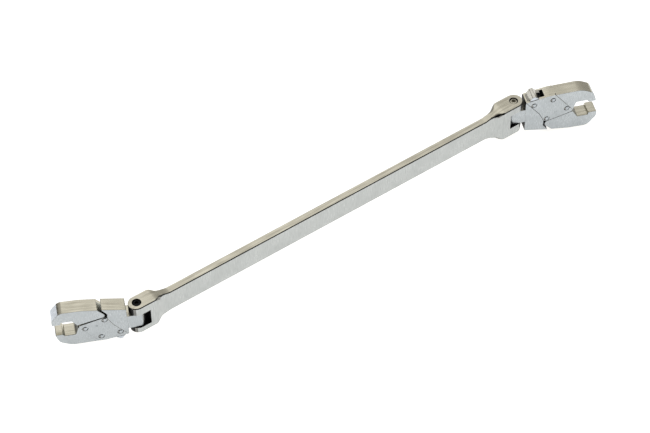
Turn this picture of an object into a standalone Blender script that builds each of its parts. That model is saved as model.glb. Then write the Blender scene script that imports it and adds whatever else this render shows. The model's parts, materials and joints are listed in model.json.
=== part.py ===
"""Double-ended flex-head ratcheting jaw wrench: a 10 mm head and an 11 mm head on one forged handle.

World frame: metres, +Z along the two flex pins, +X from the small head to the large one.
Head frame: x out of the flex pin along the head, y through its thickness, z towards its thumb slider.
Sizes are in millimetres and are turned into metres by MM. Head outlines are those of the 10 mm head,
and the 11 mm head is the same outline times its scale.
"""

import math

import bmesh
import bpy
from mathutils import Matrix, Vector

MM = 0.001

# Driving dimensions, in millimetres and degrees.
PIN_SPACING = 226.1
HEADS = {
    "small": {"side": -1, "scale": 1.0, "swing": -24.7},
    "large": {"side": 1, "scale": 1.1, "swing": -21.3},
}

HEAD_HALF = 3.6
WEB_HALF = 2.35
LEVER_HALF = 0.8
GAP = 0.25
SEAM = 0.2
RUN = 0.08
JAW_OPEN = 7.0

SHAFT_HALF_WIDTH = 2.25
SHAFT_HALF_HEIGHT = 6.55
HANDLE_EDGE = 0.5
FLARE_EDGE = 1.4

# Of the fork that carries the 10 mm head. The other fork is this one times its head's scale.
EAR_RADIUS = 4.2
EAR_SLIDER_SIDE = 8.4
EAR_JAW_SIDE = 9.6
FLARE_START = 7.6
FLARE_END = 14.8
HEIGHT_FLARE_END = 18.0

TANG_HALF_HEIGHT = 4.45
TANG_RADIUS = 3.5
FORK_DEPTH = 4.9

SCREW_RADIUS = 1.5
SCREW_HEAD_RADIUS = 1.9
SCREW_HEAD_DEPTH = 2.0
SOCKET_RADIUS = 1.05
SOCKET_DEPTH = 1.1

PLUNGER_RADIUS = 1.2
PLUNGER_LENGTH = 4.0
PLUNGER_BORE_END = 12.0
PLUNGER_PLAY = 0.1
PLUNGER_SPRING = {"radius": 0.85, "wire": 0.18, "turns": 4}

RIVET_RADIUS = 0.8
RIVET_HEAD_RADIUS = 1.2
RIVET_HEAD_DEPTH = 0.6
PIVOT_RADIUS = 1.0

# Places on the 10 mm head, as (x, z).
JAW_PIVOT = Vector((15.95, -4.36))
RIVETS = (Vector((9.15, 6.05)), Vector((18.27, 7.44)), Vector((25.45, 0.14)))
NOSE_CENTRE = Vector((16.9, -7.83))
NOSE_RADIUS = 1.75
HEEL = Vector((18.9, -12.35))
BOSS_RADIUS = 2.3
SLIDE_SLOPE = 16.5
COVER_CORNER = Vector((15.056, -6.346))
COVER_CORNER_RADIUS = 1.65

# The spring that pushes the lever back lies along the head at SPRING_HEIGHT, in a bore of its own.
SPRING_HEIGHT = 3.0
SPRING_ENDS = (15.4, 18.7)
SPRING_BORE_ENDS = (15.9, 18.95)
SPRING_BORE_RADIUS = 1.05
JAW_SPRING = {"radius": 0.72, "wire": 0.16, "turns": 5}

# The thumb slot follows the head's rear top edge: s runs along it and n stands out of it.
SLOT_START = Vector((5.0, 8.5))
SLOT_SLOPE = 10.42
SLOT_RANGE = (1.0, 9.4)
SLOT_DEPTH = 2.0
RIDGE_HEIGHT = 2.2

ARC_STEP = math.radians(18.0)
ROUND_SIDES = 24
EAR_STEP = 10
FLARE_STEPS = 12


def rounded(corners):
    """The points of a closed outline, from corners (x, z, radius) that are each turned by an arc."""
    points = []
    for index, (x, z, radius) in enumerate(corners):
        corner = Vector((x, z))
        back = Vector(corners[index - 1][:2]) - corner
        ahead = Vector(corners[(index + 1) % len(corners)][:2]) - corner
        if radius == 0:
            points.append(corner)
            continue
        half = back.angle(ahead) / 2
        reach = min(radius / math.tan(half), 0.48 * back.length, 0.48 * ahead.length)
        radius = reach * math.tan(half)
        middle = back.normalized() + ahead.normalized()
        centre = corner + middle.normalized() * radius / math.sin(half)
        start = corner + back.normalized() * reach - centre
        sweep = (math.pi - 2 * half) * (1 if back.cross(ahead) < 0 else -1)
        steps = max(1, math.ceil(abs(sweep) / ARC_STEP))
        for step in range(steps + 1):
            points.append(centre + Matrix.Rotation(sweep * step / steps, 2) @ start)
    return points


def arc(centre, radius, first, last):
    """Points on an arc about a centre, from one angle to another, in degrees from +x towards +z."""
    first = math.radians(first)
    sweep = math.radians(last) - first
    steps = max(1, math.ceil(abs(sweep) / ARC_STEP))
    angles = [first + sweep * step / steps for step in range(steps + 1)]
    return [centre + radius * Vector((math.cos(a), math.sin(a))) for a in angles]


def swung(point, angle):
    """A point of the moving jaw once the jaw has opened by an angle."""
    return JAW_PIVOT + Matrix.Rotation(-math.radians(angle), 2) @ (point - JAW_PIVOT)


def along_slot(s, n):
    """The point s along the head's rear top edge and n above it."""
    turn = Matrix.Rotation(math.radians(SLOT_SLOPE), 2)
    return SLOT_START + turn @ Vector((s, n))


def new_material(name, colour, roughness):
    material = bpy.data.materials.new(name)
    material.use_nodes = True
    shader = material.node_tree.nodes["Principled BSDF"]
    shader.inputs["Base Color"].default_value = (*colour, 1.0)
    shader.inputs["Metallic"].default_value = 1.0
    shader.inputs["Roughness"].default_value = roughness
    return material


def new_collection(name):
    collection = bpy.data.collections.new(name)
    bpy.context.scene.collection.children.link(collection)
    return collection


def empty_at(name, collection, parent, x=0.0, y=0.0, z=0.0, rotation=(0.0, 0.0, 0.0)):
    """An empty that carries pieces, placed in its parent's frame, in millimetres."""
    empty = bpy.data.objects.new(name, None)
    collection.objects.link(empty)
    empty.parent = parent
    empty.location = Vector((x, y, z)) * MM
    empty.rotation_euler = rotation
    return empty


class Bench:
    """The frame that pieces are made in: a carrying empty, and the scale of the outlines."""

    def __init__(self, parts, cutters, carrier, scale=1.0, origin=(0.0, 0.0)):
        self.parts = parts
        self.cutters = cutters
        self.carrier = carrier
        self.scale = scale
        self.origin = Vector(origin)

    def add(self, name, mesh, material=None):
        """A piece from a mesh in metres, or a cutter when it has no material."""
        piece = bpy.data.objects.new(name, mesh)
        piece.parent = self.carrier
        if material is None:
            self.cutters.objects.link(piece)
            piece.hide_render = True
            piece.display_type = "WIRE"
        else:
            self.parts.objects.link(piece)
            mesh.materials.append(material)
        return piece

    def prism(self, name, outline, half, material=None, y=0.0, plan=False):
        """A flat outline in x-z, extruded by half to each side of y. A plan outline is in x-y instead."""
        curve = bpy.data.curves.new(name, "CURVE")
        curve.dimensions = "2D"
        curve.fill_mode = "BOTH"
        curve.extrude = half * MM
        spline = curve.splines.new("POLY")
        spline.points.add(len(outline) - 1)
        for point, place in zip(spline.points, outline):
            place = (place - self.origin) * self.scale * MM
            point.co = (place.x, place.y, 0.0, 1.0)
        spline.use_cyclic_u = True
        mesh = mesh_of_curve(curve)
        if not plan:
            mesh.transform(Matrix.Rotation(math.pi / 2, 4, "X"))
        mesh.transform(Matrix.Translation((0, y * MM, 0)))
        return self.add(name, mesh, material)

    def turned(self, name, profile, places, axis="Z", material=None):
        """A turned shape at each place, from a profile of (radius, height) that runs top to bottom."""
        turn = {"X": Matrix.Rotation(math.pi / 2, 4, "Y"), "Y": Matrix.Rotation(-math.pi / 2, 4, "X")}
        one = mesh_of_profile(name, profile)
        one.transform(turn.get(axis, Matrix.Identity(4)))
        joined = bmesh.new()
        for place in places:
            copy = one.copy()
            copy.transform(Matrix.Translation(Vector(place) * MM))
            joined.from_mesh(copy)
            bpy.data.meshes.remove(copy)
        mesh = bpy.data.meshes.new(name)
        joined.to_mesh(mesh)
        joined.free()
        mesh.shade_smooth()
        mesh.set_sharp_from_angle(angle=math.radians(40))
        return self.add(name, mesh, material)

    def box(self, name, low, high):
        """A box cutter between two corners, in millimetres."""
        shape = bmesh.new()
        size = Vector(high) - Vector(low)
        middle = (Vector(high) + Vector(low)) / 2
        place = Matrix.Translation(middle * MM) @ Matrix.Diagonal((*(size * MM), 1.0))
        bmesh.ops.create_cube(shape, size=1.0, matrix=place)
        mesh = bpy.data.meshes.new(name)
        shape.to_mesh(mesh)
        shape.free()
        return self.add(name, mesh)

    def flat(self, place, y=0.0):
        """The point of the carrier's frame at an outline's place, in millimetres."""
        place = (place - self.origin) * self.scale
        return Vector((place.x, y, place.y))


def mesh_of_curve(curve):
    """The closed mesh of a curve, with its loose caps welded."""
    holder = bpy.data.objects.new(curve.name, curve)
    bpy.context.scene.collection.objects.link(holder)
    graph = bpy.context.evaluated_depsgraph_get()
    mesh = bpy.data.meshes.new_from_object(holder.evaluated_get(graph))
    bpy.data.objects.remove(holder)
    bpy.data.curves.remove(curve)
    weld = bmesh.new()
    weld.from_mesh(mesh)
    bmesh.ops.remove_doubles(weld, verts=weld.verts, dist=1e-7)
    bmesh.ops.recalc_face_normals(weld, faces=weld.faces)
    weld.to_mesh(mesh)
    weld.free()
    return mesh


def mesh_of_profile(name, profile):
    """The solid of revolution of a profile about Z, with points (radius, height) in millimetres."""
    mesh = bpy.data.meshes.new(name)
    points = [(radius * MM, 0.0, height * MM) for radius, height in profile]
    edges = [(index, index + 1) for index in range(len(points) - 1)]
    mesh.from_pydata(points, edges, [])
    holder = bpy.data.objects.new(name, mesh)
    bpy.context.scene.collection.objects.link(holder)
    screw = holder.modifiers.new("turn", "SCREW")
    screw.steps = ROUND_SIDES
    screw.render_steps = ROUND_SIDES
    screw.use_merge_vertices = True
    screw.merge_threshold = 1e-6
    graph = bpy.context.evaluated_depsgraph_get()
    solid = bpy.data.meshes.new_from_object(holder.evaluated_get(graph))
    bpy.data.objects.remove(holder)
    return solid


def cylinder_profile(radius, bottom, top):
    return [(0.0, top), (radius, top), (radius, bottom), (0.0, bottom)]


def cut(piece, *cutters):
    for cutter in cutters:
        boolean = piece.modifiers.new(cutter.name, "BOOLEAN")
        boolean.operation = "DIFFERENCE"
        boolean.object = cutter


def join(piece, *others):
    """Unites pieces that were made as helpers into one body."""
    for other in others:
        boolean = piece.modifiers.new(other.name, "BOOLEAN")
        boolean.operation = "UNION"
        boolean.object = other


def coil(bench, name, start, length, material, radius, wire, turns):
    """A compression spring along the carrier's x from a start point, in millimetres."""
    curve = bpy.data.curves.new(name, "CURVE")
    curve.dimensions = "3D"
    curve.bevel_depth = wire * MM
    curve.bevel_resolution = 2
    curve.use_fill_caps = True
    steps = turns * 10
    spline = curve.splines.new("POLY")
    spline.points.add(steps)
    for index, point in enumerate(spline.points):
        angle = 2 * math.pi * turns * index / steps
        offset = (length * index / steps, radius * math.cos(angle), radius * math.sin(angle))
        point.co = (*((Vector(start) + Vector(offset)) * MM), 1.0)
    mesh = mesh_of_curve(curve)
    return bench.add(name, mesh, material)


# ---- outlines of the 10 mm head ------------------------------------------------------------------


def slide_line(x):
    """Height of the straight seam between the covers and the moving jaw."""
    return -5.942 + (x - 16.419) * math.tan(math.radians(SLIDE_SLOPE))


def body_outline():
    """Rear block, spine and fixed jaw. The seat clears the moving jaw's nose when it is open."""
    seat_centre = swung(NOSE_CENTRE, JAW_OPEN)
    top = rounded(
        [
            (5.4, -6.0, 0),
            (5.0, 8.5, 0.6),
            (15.9, 10.52, 14.0),
            (32.2, 10.7, 9.0),
            (38.0, 7.5, 4.0),
            (39.8, 1.85, 0.5),
            (36.2, 1.85, 0.3),
            (35.2, 3.1, 0.3),
            (29.9, 3.1, 0.9),
            (28.3, -2.42, 0.2),
            (16.42, slide_line(16.42), 0),
            (15.3, -5.3, 0),
        ]
    )
    seat = [Vector((14.35, -6.15))] + arc(seat_centre, NOSE_RADIUS + GAP, 155, 217)
    foot = rounded(
        [
            (*seat[-1], 0),
            (17.2, -12.2, 0.3),
            (11.8, -11.1, 20.0),
            (5.4, -9.8, 0.5),
            (5.0, 8.5, 0),
        ]
    )
    return top[1:] + seat + foot[1:-1]


def jaw_outline():
    """The moving jaw's full-thickness part, from the mouth's root round to its nose and heel."""
    heel_side = math.degrees(math.atan2(HEEL.y - NOSE_CENTRE.y, HEEL.x - NOSE_CENTRE.x)) + 360
    nose = arc(NOSE_CENTRE, NOSE_RADIUS, SLIDE_SLOPE + 90, heel_side - 70)
    rest = rounded(
        [
            (18.5, -11.93, 0),
            (18.9, -12.38, 0.3),
            (27.0, -13.68, 15.0),
            (36.5, -13.95, 3.5),
            (40.6, -8.8, 3.0),
            (40.7, -5.5, 0.5),
            (36.6, -5.5, 0.2),
            (36.4, -6.88, 0.2),
            (31.2, -6.88, 0.5),
            (28.55, -2.63, 0.2),
            (20.0, slide_line(20.0) - GAP, 0),
        ]
    )
    return nose + rest[1:-1]


def tongue_outline():
    """The hidden web of the moving jaw, round its pivot and under the covers."""
    boss = arc(JAW_PIVOT, BOSS_RADIUS, 90, 235)
    return boss + [Vector(p) for p in ((17.0, -8.5), (26.0, -5.0), (25.2, -3.5), (22.3, -1.6))]


def tongue_cavity_outline():
    """The room for that web in the body, open downwards."""
    boss = arc(JAW_PIVOT, BOSS_RADIUS + GAP, 90, 235)
    return boss + [Vector(p) for p in ((17.0, -9.5), (26.6, -5.0), (25.5, -3.25), (22.4, -1.33))]


def lever_outline():
    """The thin arm from the pivot up to the thumb slider."""
    return rounded([(15.0, -4.6, 0), (16.9, -4.1, 0), (13.75, 6.9, 0.5), (11.75, 6.9, 0.5)])


def lever_slot_outline():
    corners = ((10.35, 8.6), (10.35, 5.2), (13.3, -4.0), (17.6, -3.0), (15.5, 7.3), (13.2, 8.6))
    return [Vector(p) for p in corners]


def cover_outline():
    """The kite-shaped side cover, with its lower corner round the jaw's pivot."""
    return rounded(
        [
            (5.35, 8.565, 0),
            (12.2, -0.2, 8.0),
            (*COVER_CORNER, COVER_CORNER_RADIUS),
            (28.1, slide_line(28.1), 0.2),
            (28.1, -1.12, 0.2),
            (19.2, 10.62, 0.3),
            (15.9, 10.52, 8.0),
        ]
    )


def recess_outline():
    """The pocket for a cover in the body: a seam wider, and open past the body's own edges."""
    grown = (COVER_CORNER_RADIUS + SEAM) / COVER_CORNER_RADIUS
    corner = JAW_PIVOT + (COVER_CORNER - JAW_PIVOT) * grown
    return rounded(
        [
            (5.35 - SEAM, 8.5, 0),
            (12.2 - SEAM, -0.2 - SEAM / 2, 8.0),
            (*corner, COVER_CORNER_RADIUS + SEAM),
            (29.3, -2.4, 0),
            (18.5, 11.9, 0),
            (5.35 - SEAM, 11.9, 0),
        ]
    )


def ridge_outline():
    """The slider's thumb ridge above the head's walls, seen from the side."""
    foot, top = GAP, RIDGE_HEIGHT
    corners = ((1.9, foot, 0.1), (3.6, top, 0.5), (5.0, top, 0.5), (6.6, foot, 0.1))
    return rounded([(*along_slot(s, n), r) for s, n, r in corners])


# ---- pieces --------------------------------------------------------------------------------------


def smoothstep(t):
    t = min(max(t, 0.0), 1.0)
    return t * t * (3 - 2 * t)


def ear_heights(size):
    """How far a fork's ears reach below and above the handle's middle."""
    scale = HEADS[size]["scale"]
    low, high = -EAR_JAW_SIDE * scale, EAR_SLIDER_SIDE * scale
    return (low, high) if HEADS[size]["side"] > 0 else (-high, -low)


def handle_section(size, inward):
    """Half width, low z, high z and edge of the handle, at a distance inward from a flex pin."""
    scale = HEADS[size]["scale"]
    low, high = ear_heights(size)
    radius = EAR_RADIUS * scale
    if inward < 0:
        half_width = math.sqrt(radius**2 - inward**2)
        return half_width, low, high, min(HANDLE_EDGE, 0.6 * half_width)
    past = inward / scale - FLARE_START
    narrowing = smoothstep(past / (FLARE_END - FLARE_START))
    lowering = smoothstep(past / (HEIGHT_FLARE_END - FLARE_START))
    half_width = radius + (SHAFT_HALF_WIDTH - radius) * narrowing
    low += (-SHAFT_HALF_HEIGHT - low) * lowering
    high += (SHAFT_HALF_HEIGHT - high) * lowering
    edge = HANDLE_EDGE + (FLARE_EDGE - HANDLE_EDGE) * math.sin(math.pi * narrowing) ** 2
    return half_width, low, high, edge


def handle_stations():
    """(x, half width, low z, high z, edge) from the small end to the large one."""
    stations = []
    for size, spec in HEADS.items():
        scale = spec["scale"]
        pin_x = spec["side"] * PIN_SPACING / 2
        turns = range(EAR_STEP, 90, EAR_STEP)
        ear = [-EAR_RADIUS * math.cos(math.radians(turn)) for turn in turns]
        flare_length = HEIGHT_FLARE_END - FLARE_START
        flare = [FLARE_START + flare_length * step / FLARE_STEPS for step in range(FLARE_STEPS + 1)]
        for inward in ear + [0.0] + flare:
            place = pin_x - spec["side"] * inward * scale
            stations.append((place, *handle_section(size, inward * scale)))
    return sorted(stations)


def ring_of(x, half_width, low, high, edge):
    """One section of the handle: a rectangle with its four corners rounded."""
    ring = []
    corners = ((1, high - edge), (-1, high - edge), (-1, low + edge), (1, low + edge))
    for quarter, (side_y, centre_z) in enumerate(corners):
        centre_y = side_y * (half_width - edge)
        for step in range(3):
            angle = math.radians(90 * quarter + 45 * step)
            ring.append((x, centre_y + edge * math.cos(angle), centre_z + edge * math.sin(angle)))
    return ring


def handle(bench, material):
    """The forged bar: a loft through its sections, closed at both ends."""
    shape = bmesh.new()
    rings = [
        [shape.verts.new(Vector(point) * MM) for point in ring_of(*station)]
        for station in handle_stations()
    ]
    for near, far in zip(rings, rings[1:]):
        for index in range(len(near)):
            after = (index + 1) % len(near)
            shape.faces.new((near[index], far[index], far[after], near[after]))
    shape.faces.new(rings[0])
    shape.faces.new(reversed(rings[-1]))
    bmesh.ops.recalc_face_normals(shape, faces=shape.faces)
    mesh = bpy.data.meshes.new("handle")
    shape.to_mesh(mesh)
    shape.free()
    mesh.shade_smooth()
    mesh.set_sharp_from_angle(angle=math.radians(35))
    return bench.add("handle", mesh, material)


def screw_profile(size, hole=False):
    """The flex screw about Z, or the stepped hole that it goes in."""
    low, high = ear_heights(size)
    under_head = high - SCREW_HEAD_DEPTH
    if hole:
        head = SCREW_HEAD_RADIUS + GAP
        shank = SCREW_RADIUS + RUN
        top, under_head, bottom = high + 1, under_head - GAP, low - 1
    else:
        head, shank, top, bottom = SCREW_HEAD_RADIUS, SCREW_RADIUS, high - 0.2, low + 0.3
    return [(0, top), (head, top), (head, under_head), (shank, under_head), (shank, bottom), (0, bottom)]


def fork_cutters(bench, size, pin_x, side):
    """Slot, screw hole and plunger bore of one fork, in the handle."""
    floor = pin_x - side * FORK_DEPTH
    mouth = pin_x + side * 3 * EAR_RADIUS
    slot_half = TANG_HALF_HEIGHT + GAP
    low = (min(floor, mouth), -2 * EAR_RADIUS, -slot_half)
    high = (max(floor, mouth), 2 * EAR_RADIUS, slot_half)
    slot = bench.box(f"{size}_fork_slot", low, high)
    hole = bench.turned(f"{size}_screw_hole", screw_profile(size, hole=True), [(pin_x, 0, 0)])
    bore = cylinder_profile(PLUNGER_RADIUS + RUN, 0, PLUNGER_BORE_END - FORK_DEPTH + 1)
    bore_x = floor - 1 if side < 0 else pin_x - PLUNGER_BORE_END
    bore = bench.turned(f"{size}_plunger_bore", bore, [(bore_x, 0, 0)], "X")
    return slot, hole, bore


def flex_parts(bench, size, pin_x, side, steel, spring_steel):
    """What holds one head in its fork: the screw, the friction plunger and its spring."""
    screw = bench.turned(f"{size}_flex_screw", screw_profile(size), [(pin_x, 0, 0)], "Z", steel)
    socket_top = ear_heights(size)[1] + 1
    socket = bmesh.new()
    place = Matrix.Translation(Vector((pin_x, 0, socket_top - (SOCKET_DEPTH + 1) / 2)) * MM)
    bmesh.ops.create_cone(
        socket,
        cap_ends=True,
        segments=6,
        radius1=SOCKET_RADIUS * MM,
        radius2=SOCKET_RADIUS * MM,
        depth=(SOCKET_DEPTH + 1.4) * MM,
        matrix=place,
    )
    mesh = bpy.data.meshes.new(f"{size}_socket")
    socket.to_mesh(mesh)
    socket.free()
    cut(screw, bench.add(f"{size}_socket", mesh))

    nose = TANG_RADIUS + PLUNGER_PLAY
    flat = 0.45 * PLUNGER_RADIUS
    profile = [(0, nose), (flat, nose + 0.15), (PLUNGER_RADIUS, nose + 0.7)]
    profile += [(PLUNGER_RADIUS, nose + PLUNGER_LENGTH), (0, nose + PLUNGER_LENGTH)]
    profile = [(radius, -height) for radius, height in profile]
    plunger = bench.turned(f"{size}_friction_plunger", profile, [(0, 0, 0)], "X", steel)
    turn = Matrix.Rotation(0 if side > 0 else math.pi, 4, "Z")
    plunger.data.transform(Matrix.Translation((pin_x * MM, 0, 0)) @ turn)

    end_room = GAP + PLUNGER_SPRING["wire"]
    start = pin_x - side * (nose + PLUNGER_LENGTH + end_room)
    length = PLUNGER_BORE_END - nose - PLUNGER_LENGTH - 2 * end_room
    first = min(start, start - side * length)
    coil(bench, f"{size}_plunger_spring", (first, 0, 0), length, spring_steel, **PLUNGER_SPRING)


def rivet_profile(shank, head, half=HEAD_HALF - 0.05, depth=RIVET_HEAD_DEPTH):
    """A rivet about Z with a flush head at both ends."""
    under = half - depth
    outer = [(0, half), (head, half), (head, under), (shank, under)]
    return outer + [(radius, -height) for radius, height in reversed(outer)]


def head_body(bench, size, material):
    body = bench.prism(f"{size}_head_body", body_outline(), HEAD_HALF, material)

    pin_bench = Bench(bench.parts, bench.cutters, bench.carrier)
    tang = arc(Vector((0, 0)), TANG_RADIUS, 90, 270)
    tang += [Vector((7.5, -TANG_RADIUS)), Vector((7.5, TANG_RADIUS))]
    join(body, pin_bench.prism(f"{size}_tang", tang, TANG_HALF_HEIGHT, plan=True))

    recess_half = (HEAD_HALF - WEB_HALF + 1) / 2
    recess_y = WEB_HALF + recess_half
    for side, name in ((-1, "front"), (1, "back")):
        recess = bench.prism(
            f"{size}_{name}_recess", recess_outline(), recess_half, y=side * recess_y
        )
        cut(body, recess)

    cavity_half = WEB_HALF + GAP
    cavity = bench.prism(f"{size}_tongue_cavity", tongue_cavity_outline(), cavity_half)
    lever_slot = bench.prism(f"{size}_lever_slot", lever_slot_outline(), LEVER_HALF + GAP)
    thumb_slot = rounded(
        [
            (*along_slot(SLOT_RANGE[0], 2.0), 0),
            (*along_slot(SLOT_RANGE[0], -SLOT_DEPTH), 0),
            (*along_slot(SLOT_RANGE[1], -SLOT_DEPTH), 1.0),
            (*along_slot(SLOT_RANGE[1], 2.0), 0),
        ]
    )
    thumb_slot = bench.prism(f"{size}_thumb_slot", thumb_slot, cavity_half + 0.002)

    pocket_start = bench.flat(Vector((SPRING_BORE_ENDS[0], SPRING_HEIGHT)))
    pocket_length = (SPRING_BORE_ENDS[1] - SPRING_BORE_ENDS[0]) * bench.scale
    pocket = cylinder_profile(SPRING_BORE_RADIUS, 0, pocket_length)
    pocket = bench.turned(f"{size}_spring_pocket", pocket, [pocket_start], "X")
    pin_hole = cylinder_profile(SCREW_RADIUS + RUN, -12, 12)
    pin_hole = bench.turned(f"{size}_pin_hole", pin_hole, [(0, 0, 0)])
    rivet_holes = cylinder_profile(RIVET_RADIUS + RUN, -5, 5)
    places = [bench.flat(place) for place in RIVETS]
    rivet_holes = bench.turned(f"{size}_rivet_holes", rivet_holes, places, "Y")
    cut(body, cavity, lever_slot, thumb_slot, pocket, pin_hole, rivet_holes)
    return body


def covers(bench, size, material):
    """The two flush side covers, with stepped holes for their rivets and the jaw's pivot."""
    inner = WEB_HALF + GAP
    thick = HEAD_HALF - inner
    places = [bench.flat(place) for place in (*RIVETS, JAW_PIVOT)]
    head = RIVET_HEAD_RADIUS + 0.1
    under = HEAD_HALF - RIVET_HEAD_DEPTH - 0.15
    for side, name in ((-1, "front"), (1, "back")):
        cover = bench.prism(
            f"{size}_{name}_cover", cover_outline(), thick / 2, material, y=side * (inner + thick / 2)
        )
        profile = [(0, 5), (head, 5), (head, under), (PIVOT_RADIUS + RUN, under)]
        profile += [(PIVOT_RADIUS + RUN, 1), (0, 1)]
        holes = bench.turned(f"{size}_{name}_cover_holes", profile, [(0, 0, 0)], "Y")
        if side < 0:
            holes.data.transform(Matrix.Rotation(math.pi, 4, "Z"))
        shape = bmesh.new()
        for place in places:
            copy = holes.data.copy()
            copy.transform(Matrix.Translation(place * MM))
            shape.from_mesh(copy)
            bpy.data.meshes.remove(copy)
        shape.to_mesh(holes.data)
        shape.free()
        cut(cover, holes)


def moving_jaw(bench, size, material):
    """Built about its pivot: the outer jaw, the hidden tongue and the lever, as one forging."""
    jaw = bench.prism(f"{size}_moving_jaw", jaw_outline(), HEAD_HALF, material)
    tongue = bench.prism(f"{size}_tongue", tongue_outline(), WEB_HALF)
    lever = bench.prism(f"{size}_lever", lever_outline(), LEVER_HALF)
    join(jaw, tongue, lever)
    hole = cylinder_profile(PIVOT_RADIUS + RUN, -5, 5)
    cut(jaw, bench.turned(f"{size}_jaw_hole", hole, [(0, 0, 0)], "Y"))
    return jaw


def thumb_slider(bench, size, material):
    """Shoe in the slot, ridge for the thumb, and the tab that reaches down to the lever."""
    ridge = bench.prism(f"{size}_thumb_slider", ridge_outline(), HEAD_HALF - 0.1, material)
    neck_corners = ((2.2, -1.0), (6.2, -1.0), (5.4, 1.2), (3.2, 1.2))
    shoe_corners = ((1.3, -1.75), (7.6, -1.75), (7.6, -0.7), (1.3, -0.7))
    tab_corners = ((5.1, -3.4), (6.1, -3.4), (6.1, -1.2), (5.1, -1.2))
    blocks = (
        ("neck", neck_corners, WEB_HALF - 0.1),
        ("shoe", shoe_corners, WEB_HALF),
        ("tab", tab_corners, LEVER_HALF),
    )
    for name, corners, half in blocks:
        outline = [along_slot(s, n) for s, n in corners]
        join(ridge, bench.prism(f"{size}_{name}", outline, half))
    return ridge


def build_head(size, parts, cutters, root, looks):
    spec = HEADS[size]
    side = spec["side"]
    scale = spec["scale"]
    flip = 0.0 if side > 0 else math.pi
    pin_x = side * PIN_SPACING / 2
    flex = empty_at(
        f"{size}_flex_axis", parts, root, pin_x, rotation=(0.0, flip, math.radians(spec["swing"]))
    )
    bench = Bench(parts, cutters, flex, scale)
    head_body(bench, size, looks["forged"])
    covers(bench, size, looks["cover"])
    rivets = rivet_profile(RIVET_RADIUS, RIVET_HEAD_RADIUS)
    for number, place in enumerate(RIVETS, 1):
        bench.turned(f"{size}_cover_rivet_{number}", rivets, [bench.flat(place)], "Y", looks["rivet"])
    pivot = rivet_profile(PIVOT_RADIUS, RIVET_HEAD_RADIUS)
    bench.turned(f"{size}_jaw_pivot", pivot, [bench.flat(JAW_PIVOT)], "Y", looks["rivet"])
    start = bench.flat(Vector((SPRING_ENDS[0], SPRING_HEIGHT)))
    length = (SPRING_ENDS[1] - SPRING_ENDS[0]) * scale
    coil(bench, f"{size}_jaw_spring", start, length, looks["spring"], **JAW_SPRING)

    pivot_place = bench.flat(JAW_PIVOT)
    jaw_axis = empty_at(f"{size}_jaw_axis", parts, flex, *pivot_place)
    moving_jaw(Bench(parts, cutters, jaw_axis, scale, JAW_PIVOT), size, looks["forged"])
    slot_place = bench.flat(SLOT_START)
    slide_axis = empty_at(f"{size}_slide_axis", parts, flex, *slot_place)
    thumb_slider(Bench(parts, cutters, slide_axis, scale, SLOT_START), size, looks["cover"])


def lowest_and_middle(collection):
    """The box middle in x and y and the lowest z of every part, in metres."""
    graph = bpy.context.evaluated_depsgraph_get()
    points = []
    for piece in collection.objects:
        if piece.type == "MESH":
            solid = piece.evaluated_get(graph)
            points += [solid.matrix_world @ vertex.co for vertex in solid.data.vertices]
    low = [min(point[axis] for point in points) for axis in range(3)]
    high = [max(point[axis] for point in points) for axis in range(3)]
    return Vector(((low[0] + high[0]) / 2, (low[1] + high[1]) / 2, low[2]))


def main():
    for piece in list(bpy.data.objects):
        bpy.data.objects.remove(piece)
    parts = new_collection("ratchet_wrench")
    cutters = new_collection("cutters")
    looks = {
        "forged": new_material("satin_chrome", (0.60, 0.60, 0.58), 0.30),
        "cover": new_material("satin_chrome_plate", (0.58, 0.59, 0.59), 0.32),
        "rivet": new_material("polished_rivet", (0.62, 0.62, 0.62), 0.25),
        "screw": new_material("black_screw", (0.05, 0.05, 0.05), 0.45),
        "spring": new_material("spring_steel", (0.35, 0.36, 0.38), 0.35),
    }
    root = empty_at("wrench_frame", parts, None)
    bench = Bench(parts, cutters, root)
    bar = handle(bench, looks["forged"])
    for size, spec in HEADS.items():
        pin_x = spec["side"] * PIN_SPACING / 2
        cut(bar, *fork_cutters(bench, size, pin_x, spec["side"]))
        flex_parts(bench, size, pin_x, spec["side"], looks["screw"], looks["spring"])
        build_head(size, parts, cutters, root, looks)
    bpy.context.view_layer.update()
    root.location = -lowest_and_middle(parts)
    bpy.context.view_layer.update()


main()
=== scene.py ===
# %% [markdown]
# # A flex-head ratcheting jaw wrench
# The tool has one flat forged handle and a 10 mm and an 11 mm head. Each head swings on a screw in a fork.
# A moving jaw, a thumb slider and two riveted side covers make up each head.
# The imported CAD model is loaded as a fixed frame. Its nodes say where everything is, and finer pieces go
# round it.

# %% Load the frame
import json
import math

import bmesh
import bpy
from mathutils import Matrix, Vector

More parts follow.
